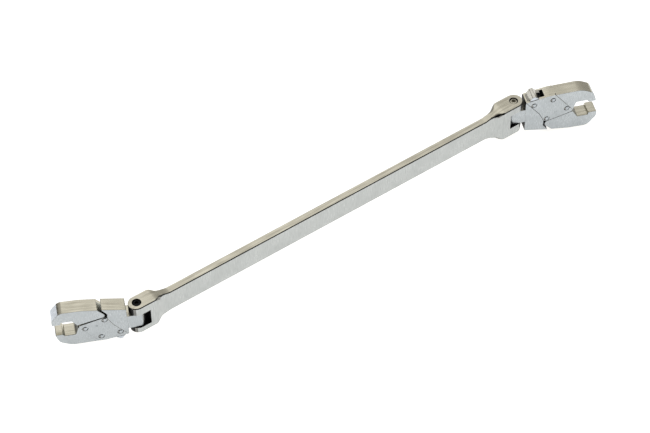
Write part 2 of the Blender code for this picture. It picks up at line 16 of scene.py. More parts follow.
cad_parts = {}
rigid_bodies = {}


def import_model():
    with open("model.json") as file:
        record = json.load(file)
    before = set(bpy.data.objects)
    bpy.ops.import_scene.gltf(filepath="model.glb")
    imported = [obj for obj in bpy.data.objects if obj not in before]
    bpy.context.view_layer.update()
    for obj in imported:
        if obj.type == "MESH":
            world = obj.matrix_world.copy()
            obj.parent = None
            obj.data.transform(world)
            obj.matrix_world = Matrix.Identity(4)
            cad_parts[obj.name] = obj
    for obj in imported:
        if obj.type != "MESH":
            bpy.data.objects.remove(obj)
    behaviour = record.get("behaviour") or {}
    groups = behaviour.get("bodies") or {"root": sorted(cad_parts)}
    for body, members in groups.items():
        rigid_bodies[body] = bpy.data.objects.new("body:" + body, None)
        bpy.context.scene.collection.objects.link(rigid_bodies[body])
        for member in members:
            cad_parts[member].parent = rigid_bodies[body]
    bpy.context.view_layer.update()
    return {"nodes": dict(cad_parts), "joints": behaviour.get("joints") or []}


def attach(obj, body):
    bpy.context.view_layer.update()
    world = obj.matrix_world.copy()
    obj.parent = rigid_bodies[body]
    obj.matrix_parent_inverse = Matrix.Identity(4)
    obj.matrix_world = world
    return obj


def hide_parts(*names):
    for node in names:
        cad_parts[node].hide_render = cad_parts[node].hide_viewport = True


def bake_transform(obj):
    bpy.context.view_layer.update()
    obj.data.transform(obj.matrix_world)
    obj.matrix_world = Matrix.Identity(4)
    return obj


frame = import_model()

MM = 0.001
nodes = frame["nodes"]
joints = {joint["name"]: joint for joint in frame["joints"]}

# %% [markdown]
# Each head has its own frame: x along the head from the flex pin, y through the thickness, z to its slider.
# The joints of the record give the pin and the axes. One matrix then places a whole head, so that every
# outline can be written once, flat and in millimetres, for the 10 mm head.
# The 11 mm head is the same outline 1.1 times as large, with the same thickness. The real heads differ a
# little in their seams: in the one behind the mouth, the one under the covers, and in how far the painted
# shade of the jaw's seat reaches.

# %% Head frames
SIZES = {
    "small": {
        "up": -1.0, "scale": 1.0, "number": "10",
        "front_seam": 0.04, "slide_seam": 0.95, "seat_shade_depth": 9.8,
    },
    "large": {
        "up": 1.0, "scale": 1.1, "number": "11",
        "front_seam": 0.2, "slide_seam": 0.25, "seat_shade_depth": 12.1,
    },
}


def head_matrix(size):
    """From a head's own millimetres to the world's metres."""
    through = Vector(joints[f"{size}_jaw_open"]["axis"]).normalized()
    up = Vector((0.0, 0.0, SIZES[size]["up"]))
    along = through.cross(up).normalized()
    turn = Matrix((along, through, up)).transposed().to_4x4()
    pin = Vector(joints[f"{size}_flex"]["pos_m"])
    return Matrix.Translation(pin) @ turn @ Matrix.Scale(MM, 4)


HEAD_PLACE = {size: head_matrix(size) for size in SIZES}
for size, place in HEAD_PLACE.items():
    print(size, "pin at", [round(value, 4) for value in place.translation])

# %% [markdown]
# A forged and ground outline has no sharp corners. Each corner is written as (x, z, radius), and a function
# turns it into an arc with a point every few degrees. Straight edges stay straight, which keeps flats flat.

# %% Rounded outlines
ARC_STEP = math.radians(6.0)
ARC_SHARE = 0.48


def rounded(corners):
    """The points of a closed outline, from corners (x, z, radius) that are each turned by an arc.
    An arc takes up less than half of the shorter edge beside it."""
    points = []
    for index, (x, z, radius) in enumerate(corners):
        corner = Vector((x, z))
        back = Vector(corners[index - 1][:2]) - corner
        ahead = Vector(corners[(index + 1) % len(corners)][:2]) - corner
        if radius == 0:
            points.append(corner)
            continue
        half = back.angle(ahead) / 2
        reach = min(radius / math.tan(half), ARC_SHARE * back.length, ARC_SHARE * ahead.length)
        radius = reach * math.tan(half)
        middle = back.normalized() + ahead.normalized()
        centre = corner + middle.normalized() * radius / math.sin(half)
        start = corner + back.normalized() * reach - centre
        sweep = (math.pi - 2 * half) * (1 if back.cross(ahead) < 0 else -1)
        steps = max(1, math.ceil(abs(sweep) / ARC_STEP))
        for step in range(steps + 1):
            points.append(centre + Matrix.Rotation(sweep * step / steps, 2) @ start)
    return points


def arc(centre, radius, first, last):
    """Points on an arc about a centre, between two angles in degrees from +x towards +z."""
    sweep = math.radians(last - first)
    steps = max(1, math.ceil(abs(sweep) / ARC_STEP))
    angles = [math.radians(first) + sweep * step / steps for step in range(steps + 1)]
    return [centre + radius * Vector((math.cos(angle), math.sin(angle))) for angle in angles]


print("a 2 mm corner gets", len(rounded([(0, 0, 2), (9, 0, 0), (9, 9, 0)])) - 2, "points")

# %% [markdown]
# The bar, the plates, the screws and the bores are all rings of points with a skin between them, so one
# function makes them all. Spin or Bridge Edge Loops would do too, but mesh code says exactly which points
# meet. Doubles are merged and the normals turned outwards at the end.

# %% Skin over rings
SAME_POINT = 1e-5


def skinned(name, rings):
    """A closed mesh with a skin over rings of points. A ring of one point closes its end by itself."""
    shape = bmesh.new()
    rings = [[shape.verts.new(point) for point in ring] for ring in rings]
    for near, far in zip(rings, rings[1:]):
        for index in range(max(len(near), len(far))):
            after = index + 1
            corners = [near[index % len(near)], near[after % len(near)]]
            corners += [far[after % len(far)], far[index % len(far)]]
            shape.faces.new(list(dict.fromkeys(corners)))
    for ring in (rings[0][::-1], rings[-1]):
        if len(ring) > 1:
            shape.faces.new(ring)
    bmesh.ops.remove_doubles(shape, verts=shape.verts, dist=SAME_POINT)
    bmesh.ops.recalc_face_normals(shape, faces=shape.faces)
    mesh = bpy.data.meshes.new(name)
    shape.to_mesh(mesh)
    shape.free()
    return mesh


print("points nearer than", SAME_POINT, "mm are merged")

# %% [markdown]
# A plate is an outline given a thickness. On the real head a grinder has broken every edge by a fraction of
# a millimetre, and that thin rounding is what catches the light. Curves could do this with their bevel, but
# here each ring of the rounding sits exactly inside the outline, so the plate never outgrows it.

# %% Plates with broken edges
BREAK_STEPS = 3
LEAST_SPREAD = 0.5


def inset(outline, distance):
    """The outline moved inwards, with each point along the bisector of its two edges."""
    area = sum(a.cross(b) for a, b in zip(outline, outline[1:] + outline[:1]))
    side = 1 if area > 0 else -1
    moved = []
    for index, point in enumerate(outline):
        back = (point - outline[index - 1]).normalized()
        ahead = (outline[(index + 1) % len(outline)] - point).normalized()
        inward = (back + ahead).normalized()
        inward = Vector((-inward.y, inward.x)) * side
        spread = max(LEAST_SPREAD, inward.dot(Vector((-ahead.y, ahead.x)) * side))
        moved.append(point + inward * distance / spread)
    return moved


def plate(name, outline, half, scale, edge=0.0, y=0.0, lying=False):
    """A mesh in head millimetres: the outline in x-z, half thick to each side of y, with broken edges.
    A lying plate has its outline in x-y, and its thickness up and down."""
    outline = [point * scale for point in outline]
    levels = [(-half, 0.0), (half, 0.0)]
    if edge:
        angles = [math.pi / 2 * step / BREAK_STEPS for step in range(BREAK_STEPS + 1)]
        rise = [(edge * (1 - math.sin(a)), edge * (1 - math.cos(a))) for a in reversed(angles)]
        levels = [(-half + low, inner) for low, inner in rise]
        levels += [(half - low, inner) for low, inner in reversed(rise)]
    rings = []
    for height, inner in levels:
        ring = inset(outline, inner) if inner else outline
        rings.append([(point.x, y + height, point.y) for point in ring])
    mesh = skinned(name, rings)
    if lying:
        mesh.transform(Matrix.Rotation(-math.pi / 2, 4, "X"))
    return mesh


print("a broken edge has", BREAK_STEPS, "steps")

# %% [markdown]
# Screws, rivet holes and bores were turned or drilled. Their mesh is a profile of (radius, height) turned
# round an axis, with only one point where the profile meets the axis.

# %% Turned parts
SIDES = 48
AXIS_TURN = {
    "X": Matrix.Rotation(math.pi / 2, 4, "Y"),
    "Y": Matrix.Rotation(-math.pi / 2, 4, "X"),
    "Z": Matrix.Identity(4),
}


def turned(name, profile, place=(0, 0, 0), axis="Z"):
    """A lathe-turned mesh in millimetres, from a profile of (radius, height) that runs top to bottom."""
    rings = []
    for radius, height in profile:
        angles = [2 * math.pi * step / SIDES for step in range(SIDES if radius else 1)]
        rings.append([(radius * math.cos(angle), radius * math.sin(angle), height) for angle in angles])
    mesh = skinned(name, rings)
    mesh.transform(Matrix.Translation(place) @ AXIS_TURN[axis])
    return mesh


print("a turned part has", SIDES, "sides")

# %% [markdown]
# Slots, holes and pockets are milled out of the solid. A Boolean modifier does the same with a cutter mesh.
# The walls that a cutter opens get a dark material that paints the shade inside slots and seams. The
# cutters carry that painted shade as a marker, and the Boolean hands it on to the walls that it cuts.
# The result is read back as a plain mesh at once, so that no modifier and no cutter stays in the file.

# %% Milling and joining
# Painted shade: a dark material for slot walls, seams and fork ends, where the shade falls.
PAINTED_SHADE = bpy.data.materials.new("painted_shade_steel")
GROUND = bpy.data.materials.new("ground_marker")


def linked(name, data):
    """A new object in the scene."""
    piece = bpy.data.objects.new(name, data)
    bpy.context.scene.collection.objects.link(piece)
    return piece


def baked(piece, name):
    """The evaluated mesh of an object, which is then removed."""
    graph = bpy.context.evaluated_depsgraph_get()
    done = bpy.data.meshes.new_from_object(piece.evaluated_get(graph))
    done.name = name
    source = piece.data
    bpy.data.objects.remove(piece)
    if source.users == 0:
        bpy.data.batch_remove([source])
    return done


def worked(name, mesh, cutters=(), joined=(), shade_rule=None):
    """The mesh after the joined meshes are added and the cutters are taken out, as a plain mesh.
    Faces that the shade rule picks get the painted shade as well."""
    mesh.materials.append(GROUND)
    mesh.materials.append(PAINTED_SHADE)
    for face in mesh.polygons:
        if shade_rule and shade_rule(face.center, face.normal):
            face.material_index = 1
    piece = linked(name, mesh)
    helpers = []
    for operation, group in (("UNION", joined), ("DIFFERENCE", cutters)):
        for other in group:
            if not other.materials:
                other.materials.append(PAINTED_SHADE)
            helpers.append(linked(other.name, other))
            boolean = piece.modifiers.new(other.name, "BOOLEAN")
            boolean.operation = operation
            boolean.object = helpers[-1]
            boolean.material_mode = "TRANSFER"
    done = baked(piece, name)
    for helper in helpers:
        bpy.data.meshes.remove(helper.data)
    return done


print("walls that are cut get", PAINTED_SHADE.name)

# %% [markdown]
# ## Finishes
# The wrench is chrome-vanadium steel with a satin chrome plate. The wide faces were blasted and lightly
# ground across, and look cool grey. The narrow edges were ground lengthwise on a belt, with long streaks, and
# are tinted warmer, and the jaw tips paler and bluish. A metal shows its colour only in what it mirrors, so
# these tints by direction are painted reflections of the room's light, and the streaks are mostly roughness
# and bump.
# Chrome reflects about 55 to 60 percent, and satin chrome has a roughness near 0.3.

# %% Colours and the node helper
def linear(colour):
    """An sRGB hex colour as linear red, green, blue and alpha."""
    parts = [int(colour[start : start + 2], 16) / 255 for start in (1, 3, 5)]
    return (*[c / 12.92 if c <= 0.04045 else ((c + 0.055) / 1.055) ** 2.4 for c in parts], 1.0)


def add_node(tree, kind, links=(), **settings):
    """A node with its settings, and links given as (input, output socket or value)."""
    node = tree.nodes.new(kind)
    for name, value in settings.items():
        setattr(node, name, value)
    for name, source in links:
        if isinstance(source, bpy.types.NodeSocket):
            tree.links.new(source, node.inputs[name])
        else:
            node.inputs[name].default_value = source
    return node


print("chrome grey", [round(value, 2) for value in linear("#c9ccca")[:3]])

# %% [markdown]
# Real belt grain is about 0.05 mm wide, which is too fine to show at this size. It is drawn at 0.3 to 0.5 mm.
# The grain is noise that is stretched along one direction, so each finish gives its grain's length along the
# piece, through it and up it. A slow cloud pattern of about 9 mm varies the polish, as handling does.
# The Bevel node finds edges, and a noise breaks them up: there the plate has worn brighter and smoother.

# %% Ground chrome
CLOUD_SIZE = 9
CLOUD_SHARE = 0.35
SPECK_SIZE = 0.7
RIM_WIDTH = 0.25
TONE_LIMITS = [("From Min", 0.475), ("From Max", 0.875)]
RIM_LIMITS = [("From Min", 0.98), ("From Max", 0.8)]
WORN_SMOOTHER = -0.12
BUMP_STRENGTH = 0.6


def new_look(name):
    """A material with its node tree and its shader."""
    look = bpy.data.materials.get(name) or bpy.data.materials.new(name)
    look.use_nodes = True
    return look, look.node_tree, look.node_tree.nodes["Principled BSDF"]


def ground_chrome(
    name, dark, light, roughness, turn, grain, depth, edge="#dcdedd", metallic=1.0, spread=0.07
):
    """Plated steel with a directional grain of (along, through, up) millimetres, turned about world Z.
    The depth is that of the grain in millimetres, and the spread is how far the roughness varies."""
    look, tree, shader = new_look(name)
    shader.inputs["Metallic"].default_value = metallic
    place = add_node(tree, "ShaderNodeTexCoord").outputs["Object"]
    along_piece = [("Vector", place), ("Rotation", (0, 0, -turn))]
    turned_place = add_node(tree, "ShaderNodeMapping", along_piece).outputs[0]
    stretch = [1 / (size * MM) for size in grain]
    lines_at = add_node(tree, "ShaderNodeMapping", [("Vector", turned_place), ("Scale", stretch)]).outputs[0]
    noises = []
    patterns = ((lines_at, 1.0, 4.0), (place, CLOUD_SIZE * MM, 2.0), (place, SPECK_SIZE * MM, 3.0))
    for at, size, detail in patterns:
        noise = [("Vector", at), ("Scale", 1 / size), ("Detail", detail)]
        noises.append(add_node(tree, "ShaderNodeTexNoise", noise).outputs["Fac"])
    lines, clouds, specks = noises
    mixing = [(0, clouds), (1, CLOUD_SHARE), (2, lines)]
    mixed = add_node(tree, "ShaderNodeMath", mixing, operation="MULTIPLY_ADD").outputs[0]
    tone = add_node(tree, "ShaderNodeMapRange", [("Value", mixed), *TONE_LIMITS]).outputs[0]
    tints = [("Factor", tone), (6, linear(dark)), (7, linear(light))]
    plated = add_node(tree, "ShaderNodeMix", tints, data_type="RGBA").outputs[2]

    rim = add_node(tree, "ShaderNodeBevel", [("Radius", RIM_WIDTH * MM)], samples=4).outputs[0]
    own = add_node(tree, "ShaderNodeNewGeometry").outputs["Normal"]
    facing = add_node(tree, "ShaderNodeVectorMath", [(0, rim), (1, own)], operation="DOT_PRODUCT")
    near_rim = [("Value", facing.outputs["Value"]), *RIM_LIMITS, ("To Max", 1.0)]
    worn = add_node(tree, "ShaderNodeMapRange", near_rim).outputs[0]
    worn = add_node(tree, "ShaderNodeMath", [(0, worn), (1, specks)], operation="MULTIPLY").outputs[0]
    colours = [("Factor", worn), (6, plated), (7, linear(edge))]
    colour = add_node(tree, "ShaderNodeMix", colours, data_type="RGBA").outputs[2]
    tree.links.new(colour, shader.inputs["Base Color"])

    polish = [("Value", mixed), *TONE_LIMITS, ("To Min", roughness + spread), ("To Max", roughness - spread)]
    rough = add_node(tree, "ShaderNodeMapRange", polish).outputs[0]
    smoother = [(0, worn), (1, WORN_SMOOTHER), (2, rough)]
    rough = add_node(tree, "ShaderNodeMath", smoother, operation="MULTIPLY_ADD").outputs[0]
    tree.links.new(rough, shader.inputs["Roughness"])
    scratches = [("Height", lines), ("Strength", BUMP_STRENGTH), ("Distance", depth * MM)]
    bump = add_node(tree, "ShaderNodeBump", scratches).outputs[0]
    tree.links.new(bump, shader.inputs["Normal"])
    return look


print("clouds of", CLOUD_SIZE, "mm and specks of", SPECK_SIZE, "mm")

# %% [markdown]
# The grain follows each piece, so the finishes of a head are turned with it. Two tints lie close together,
# because real plate hardly changes its colour, and the noise moves between them.

# %% Chrome finishes
head_turns = {size: math.atan2(place.col[0].y, place.col[0].x) for size, place in HEAD_PLACE.items()}
LOOKS = {
    # Ground across, so the short upright grain dulls the wide faces to an even grey.
    "handle_face": ground_chrome(
        "cross_ground_chrome_handle", "#afb2b0", "#bcbfbd", 0.33, 0.0, (0.35, 3.0, 4.0), 0.01
    ),
    # Ground on a belt, so long streaks run down the narrow edges. Their warmer tint is a painted reflection.
    "handle_edge": ground_chrome(
        "belt_ground_chrome_handle", "#aaa697", "#cfcbbb", 0.28, 0.0, (16.0, 0.4, 5.0), 0.014
    ),
}
for size, turn in head_turns.items():
    # Blasted, so the heads' sides are soft and a little bluer than the bar.
    LOOKS[f"{size}_face"] = ground_chrome(
        f"satin_chrome_{size}_head", "#a9aeb0", "#b8bdbf", 0.32, turn, (0.45, 2.0, 2.2), 0.01
    )
    # The same belt as on the bar, a little shinier, with the same painted warm reflection.
    LOOKS[f"{size}_edge"] = ground_chrome(
        f"belt_ground_chrome_{size}_head", "#aca898", "#cfcbbb", 0.25, turn, (14.0, 0.38, 14.0), 0.014
    )
    # Ground square to the belt. The tips' pale bluish tint is a painted reflection.
    LOOKS[f"{size}_tip"] = ground_chrome(
        f"satin_chrome_{size}_jaw_tips_painted_reflection", "#b6bcc3", "#c8ced4", 0.3, turn, (3.0, 0.5, 2.0), 0.01
    )
print(len(LOOKS), "chrome finishes")

# %% [markdown]
# The small head's flex screw is black-oxided steel, and the large head's is left bright. The rivets were
# turned from mild steel and then plated with the tool. The springs are drawn wire. The size number is etched,
# so it is dark. Where a grinder broke the edges of a plate, a thin polished line mirrors the dark room, and
# its darker base colour paints that line darker still.

# %% Small parts' finishes
# Black oxide is a thin matt skin, blue-black, and paler where its rims have worn.
LOOKS["black_oxide"] = ground_chrome(
    "black_oxide_steel", "#15161a", "#24262a", 0.38, 0.0, (0.4, 0.4, 0.6), 0.008, edge="#5b5d60"
)
# Painted shade for slot walls, seams and fork ends: nearly black, rough, and less of a metal.
ground_chrome(
    PAINTED_SHADE.name, "#101010", "#1d1c1b", 0.55, 0.0, (0.6, 0.6, 0.6), 0.01, edge="#2a2928", metallic=0.7
)
# A broken edge is smooth and mirrors the dark room, and its darkened base colour paints the thin dark line
# too.
POLISHED_EDGE_PAINTED_DARK = ground_chrome(
    "polished_edge_painted_dark_line", "#6f6f6c", "#8d8c87", 0.16, 0.0, (6.0, 0.5, 6.0), 0.004,
    edge="#8d8c87", spread=0.03,
)
# Turned steel without a plate is warm and shows rings round it.
LOOKS["bright_screw"] = ground_chrome(
    "bright_turned_steel", "#a9a594", "#c6c2b2", 0.3, 0.0, (0.5, 0.5, 2.0), 0.008
)
# Small plated domes are smooth, with a sharp highlight.
LOOKS["rivet"] = ground_chrome(
    "plated_rivet", "#a0a6aa", "#b8bec1", 0.2, 0.0, (0.5, 0.5, 0.5), 0.006, spread=0.03
)
# The thumb keeps the slider polished, and its streaks run along the head.
LOOKS["slider"] = ground_chrome(
    "polished_slider_chrome", "#b5b3aa", "#cccac2", 0.25, head_turns["large"], (6.0, 0.4, 0.5), 0.008
)
# Drawn wire is grey, with fine lines along it.
LOOKS["wire"] = ground_chrome(
    "drawn_spring_wire", "#6d6f72", "#8d8f92", 0.33, 0.0, (1.0, 0.3, 0.3), 0.005
)
# An etch eats through the plate's shine, so the digits are darker and matt.
LOOKS["etch"] = ground_chrome(
    "etched_number", "#6f7577", "#8b9193", 0.55, 0.0, (0.4, 0.4, 0.4), 0.005, edge="#8b9193"
)
print(len(LOOKS), "finishes in all")

# %% [markdown]
# One function puts every piece in its place, gives each face a finish by the direction that it looks in, and
# ties the piece to its body. Painting faces by hand would do the same, but a rule also holds for the walls
# that a Boolean has cut. Shading is smooth up to the sharp corners, and a Weighted Normal modifier keeps the
# wide flats from bending the light near their rounded edges.

# %% Putting a piece in its place
SHARP = math.radians(22.0)
WIDE = 0.8
TIP = 0.72
BROKEN_EDGE = 0.45
EDGED = ("_bar", "_forging", "_rivet_heads")
ACROSS = Vector((0, 1, 0))


def mean_point(mesh):
    """The mean of a mesh's corners, which tells which end of the wrench it is at."""
    return sum((vertex.co for vertex in mesh.vertices), Vector()) / len(mesh.vertices)


# Finishing by direction paints light: warm edges and pale tips are painted reflections, dark ends painted
# shade.
def finish_of(name, normal, through, outward, count):
    """The number of a face's finish: wide face, narrow edge or jaw tip, as far as the piece has them.
    After those come the painted shade, on the ends that meet in a fork, and the darkened polished edge."""
    facing = abs(normal.dot(through))
    tip = normal.dot(outward)
    # Painted shade: the body's end inside the fork and the ends of the handle's ears get the dark finish.
    shaded_fork_end = tip < -WIDE and name.endswith("_body_forging")
    shaded_ear_end = abs(normal.x) > WIDE and name == "handle_bar"
    if facing > WIDE:
        return 0
    if shaded_fork_end or shaded_ear_end:
        return count
    if facing > BROKEN_EDGE and name.endswith(EDGED):
        return count + 1
    return min(2 if tip > TIP else 1, count - 1)


def finished(name, mesh, place, body, looks, through, stands_for=()):
    """A shown piece: put in its place, given its finishes by direction, shaded, and tied to its body.
    Looks are for the wide faces, the narrow edges and the jaw tips, in that order."""
    mesh.transform(place)
    marks = list(mesh.materials)
    walls = [bool(marks) and marks[face.material_index] == PAINTED_SHADE for face in mesh.polygons]
    mesh.materials.clear()
    for look in (*looks, PAINTED_SHADE, POLISHED_EDGE_PAINTED_DARK):
        mesh.materials.append(look)
    outward = through.cross(Vector((0, 0, 1))).normalized()
    if outward.dot(mean_point(mesh)) <= 0:
        outward = -outward
    for face, wall in zip(mesh.polygons, walls):
        kind = finish_of(name, face.normal, through, outward, len(looks))
        face.material_index = len(looks) if wall else kind
    mesh.shade_smooth()
    mesh.set_sharp_from_angle(angle=SHARP)
    piece = linked(name, mesh)
    weighted = piece.modifiers.new("flat_flats", "WEIGHTED_NORMAL")
    weighted.keep_sharp = True
    mesh = baked(piece, name)
    piece = linked(name, mesh)
    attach(piece, body)
    if stands_for:
        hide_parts(*stands_for)
    print(f"{name}: {len(mesh.polygons)} faces on {body}")


print("faces within", round(math.degrees(math.acos(WIDE))), "degrees of a plate's direction are wide faces")

# %% [markdown]
# ## The handle
# The handle is a flat bar that was forged, then ground. Between the forks its section hardly changes, and at
# each end it swells into two round ears. A section that follows a rule of the distance from the flex pin
# gives that shape, so the bar is a loft: one ring of points per section, and a skin between them.
# The wide faces are crowned by about a quarter of a millimetre, which gives them their soft light gradient.

# %% Handle sections
PIN_X = {size: joints[f"{size}_flex"]["pos_m"][0] / MM for size in SIZES}
MIDDLE = Vector(joints["small_flex"]["pos_m"]) / MM
SHAFT_HALF_WIDTH = 2.25
SHAFT_HALF_HEIGHT = 6.55
EAR_RADIUS = 4.2
EAR_SLIDER_SIDE = 8.4
EAR_JAW_SIDE = 9.6
EAR_STEP = 3
FLARE_START = 7.6
FLARE_END = 14.8
HEIGHT_FLARE_END = 18.0
FLARE_SECTIONS = 36
HANDLE_EDGE = 0.4
FLARE_EDGE = 2.4
CROWN = 0.28
CROWN_POWER = 6


def smoothstep(t):
    t = min(max(t, 0.0), 1.0)
    return t * t * (3 - 2 * t)


def ear_heights(size):
    """How far a fork's ears reach below and above the handle's middle."""
    scale = SIZES[size]["scale"]
    low, high = -EAR_JAW_SIDE * scale, EAR_SLIDER_SIDE * scale
    return (low, high) if SIZES[size]["up"] > 0 else (-high, -low)


def handle_section(size, inward):
    """Half width, low z, high z, edge radius and crown, at a distance inward from a flex pin."""
    scale = SIZES[size]["scale"]
    low, high = ear_heights(size)
    radius = EAR_RADIUS * scale
    if inward < 0:
        half_width = math.sqrt(max(radius**2 - inward**2, 0.01))
        return half_width, low, high, min(HANDLE_EDGE, 0.6 * half_width), 0.0
    past = inward / scale - FLARE_START
    narrowing = smoothstep(past / (FLARE_END - FLARE_START))
    lowering = smoothstep(past / (HEIGHT_FLARE_END - FLARE_START))
    half_width = radius + (SHAFT_HALF_WIDTH - radius) * narrowing
    low += (-SHAFT_HALF_HEIGHT - low) * lowering
    high += (SHAFT_HALF_HEIGHT - high) * lowering
    edge = HANDLE_EDGE + (FLARE_EDGE - HANDLE_EDGE) * math.sin(math.pi * narrowing)
    return half_width, low, high, edge, CROWN * narrowing


def handle_stations():
    """(x, half width, low z, high z, edge, crown) from the small end to the large one, in millimetres."""
    stations = []
    for size, spec in SIZES.items():
        ear = [-EAR_RADIUS * math.cos(math.radians(turn)) for turn in range(EAR_STEP, 90, EAR_STEP)]
        length = HEIGHT_FLARE_END - FLARE_START
        flare = [FLARE_START + length * step / FLARE_SECTIONS for step in range(FLARE_SECTIONS + 1)]
        side = 1 if PIN_X[size] > 0 else -1
        for inward in ear + [0.0] + flare:
            place = PIN_X[size] - side * inward * spec["scale"]
            stations.append((place, *handle_section(size, inward * spec["scale"])))
    return sorted(stations)


print(len(handle_stations()), "sections from", round(handle_stations()[0][0], 1), "mm")

# %% [markdown]
# Each ring goes round the section: four corners, and points up each wide face that follow the crown.
# The shaft's corners are small flats, as the grinder left them. On the flares they are wide and round, where
# the forging still shows.

# %% Handle loft
CORNER_STEPS = 6
FACE_STEPS = 16


def ring_of(x, half_width, low, high, edge, crown):
    """One section as points about the handle's middle. Its corners are round where the edge is wide."""
    round_share = min(max((edge - HANDLE_EDGE) / (FLARE_EDGE - HANDLE_EDGE) * 2, 0.0), 1.0)
    corners = ((1, high - edge, 0), (-1, high - edge, 1), (-1, low + edge, 2), (1, low + edge, 3))
    ring = []
    for side, centre_z, quarter in corners:
        centre_y = side * (half_width - crown - edge)
        first = math.radians(90 * quarter)
        first_point = Vector((math.cos(first), math.sin(first)))
        last_point = Vector((-first_point.y, first_point.x))
        for step in range(CORNER_STEPS + 1):
            turn = math.pi / 2 * step / CORNER_STEPS
            on_arc = Vector((math.cos(first + turn), math.sin(first + turn)))
            on_flat = first_point.lerp(last_point, step / CORNER_STEPS)
            point = on_flat.lerp(on_arc, round_share) * edge
            ring.append((x, centre_y + point.x, centre_z + point.y))
        if quarter in (1, 3):
            ends = (high - edge, low + edge) if quarter == 1 else (low + edge, high - edge)
            for step in range(1, FACE_STEPS):
                share = step / FACE_STEPS
                bulge = crown * (1 - abs(2 * share - 1) ** CROWN_POWER)
                z = ends[0] + (ends[1] - ends[0]) * share
                ring.append((x, side * (half_width - crown + bulge), z))
    return ring


bar = skinned("handle_bar", [ring_of(*station) for station in handle_stations()])
bar.transform(Matrix.Translation((0, MIDDLE.y, MIDDLE.z)))
print("the bar has", len(bar.polygons), "faces before milling")

# %% [markdown]
# The fork is milled into each end: a slot for the head's tang, a stepped hole for the screw, and a bore
# behind the slot for the friction plunger. The slot's mouth is left open, so its cutter reaches well past
# the ear. A cutter has to cross the faces that it opens, or the Boolean leaves a skin there.

# %% Fork cutters
GAP = 0.25
RUN = 0.08
TANG_HALF_HEIGHT = 4.45
TANG_RADIUS = 3.5
FORK_DEPTH = 4.9
SCREW_RADIUS = 1.5
SCREW_HEAD_RADIUS = 1.9
SCREW_HEAD_DEPTH = 2.0
HOLE_CHAMFER = 0.15
PLUNGER_RADIUS = 1.2
PLUNGER_BORE_END = 12.0
THROUGH = 1.0


def block(name, low, high):
    """A box-shaped cutter between two corners."""
    places = ((low[0], low[2]), (high[0], low[2]), (high[0], high[2]), (low[0], high[2]))
    corners = [Vector(place) for place in places]
    return plate(name, corners, (high[1] - low[1]) / 2, 1.0, y=(high[1] + low[1]) / 2)


def fork_cutters(size):
    side = 1 if PIN_X[size] > 0 else -1
    floor = PIN_X[size] - side * FORK_DEPTH
    mouth = PIN_X[size] + side * 3 * EAR_RADIUS
    half = TANG_HALF_HEIGHT + GAP
    low = (min(floor, mouth), MIDDLE.y - 2 * EAR_RADIUS, MIDDLE.z - half)
    high = (max(floor, mouth), MIDDLE.y + 2 * EAR_RADIUS, MIDDLE.z + half)
    slot = block("fork_slot", low, high)

    low_z, high_z = ear_heights(size)
    under = high_z - SCREW_HEAD_DEPTH - GAP
    wide = SCREW_HEAD_RADIUS + GAP
    hole = [(0, high_z + THROUGH), (wide + HOLE_CHAMFER, high_z + THROUGH), (wide + HOLE_CHAMFER, high_z)]
    hole += [(wide, high_z - HOLE_CHAMFER), (wide, under), (SCREW_RADIUS + RUN, under)]
    hole += [(SCREW_RADIUS + RUN, low_z - THROUGH), (0, low_z - THROUGH)]
    hole = turned("screw_hole", hole, (PIN_X[size], MIDDLE.y, MIDDLE.z))

    depth = PLUNGER_BORE_END - FORK_DEPTH + THROUGH
    bore = [(0, depth), (PLUNGER_RADIUS + RUN, depth), (PLUNGER_RADIUS + RUN, 0), (0, 0)]
    bore_x = floor - THROUGH if side < 0 else PIN_X[size] - PLUNGER_BORE_END
    bore = turned("plunger_bore", bore, (bore_x, MIDDLE.y, MIDDLE.z), "X")
    # The walls that these cutters open get the painted shade.
    return [slot, hole, bore]


finished(
    "handle_bar",
    worked("handle_bar", bar, fork_cutters("small") + fork_cutters("large")),
    Matrix.Scale(MM, 4),
    "handle",
    (LOOKS["handle_face"], LOOKS["handle_edge"]),
    ACROSS,
    ["handle"],
)

# %% [markdown]
# ## The flex screws
# Each is a small socket-head screw that the head swings on. Its rim is chamfered, and a hexagon key fits the
# socket. A lathe profile makes the solid and a six-sided cutter makes the socket. The small screw's socket
# gets the painted shade; the bright screw's socket shines inside, so its cutters carry the ground marker
# instead.

# %% Flex screws
SOCKET_RADIUS = 1.05
SOCKET_DEPTH = 1.1
HEAD_SUNK = 0.2
END_SUNK = 0.3
END_CHAMFER = 0.3


def socket_cutters(size, top):
    """A hexagon and a funnel that opens its mouth, about a point on the screw's top."""
    sides = [Vector((math.cos(math.radians(a)), math.sin(math.radians(a)))) for a in range(0, 360, 60)]
    socket = plate("socket", [side * SOCKET_RADIUS for side in sides], SOCKET_DEPTH, 1.0, lying=True)
    socket.transform(Matrix.Translation(top))
    funnel = [(0, 1), (SOCKET_RADIUS + 1.12, 1), (SOCKET_RADIUS - 0.12, -0.24), (0, -0.24)]
    cutters = [socket, turned("socket_mouth", funnel, top)]
    for cutter in cutters:
        # Painted shade inside the small screw's socket.
        cutter.materials.append(PAINTED_SHADE if size == "small" else GROUND)
    return cutters


def flex_screw(size):
    low_z, high_z = ear_heights(size)
    top = high_z - HEAD_SUNK
    bottom = low_z + END_SUNK
    under = high_z - SCREW_HEAD_DEPTH
    head = SCREW_HEAD_RADIUS
    profile = [(0, top), (SOCKET_RADIUS + 0.35, top), (head - 0.3, top - 0.06), (head - 0.08, top - 0.2)]
    profile += [(head, top - 0.4), (head, under), (SCREW_RADIUS, under), (SCREW_RADIUS, bottom + END_CHAMFER)]
    profile += [(SCREW_RADIUS - END_CHAMFER, bottom), (0, bottom)]
    place = Vector((PIN_X[size], MIDDLE.y, MIDDLE.z))
    screw = turned(f"{size}_pin_screw", profile, place)
    return worked(f"{size}_pin_screw", screw, socket_cutters(size, place + Vector((0, 0, top))))


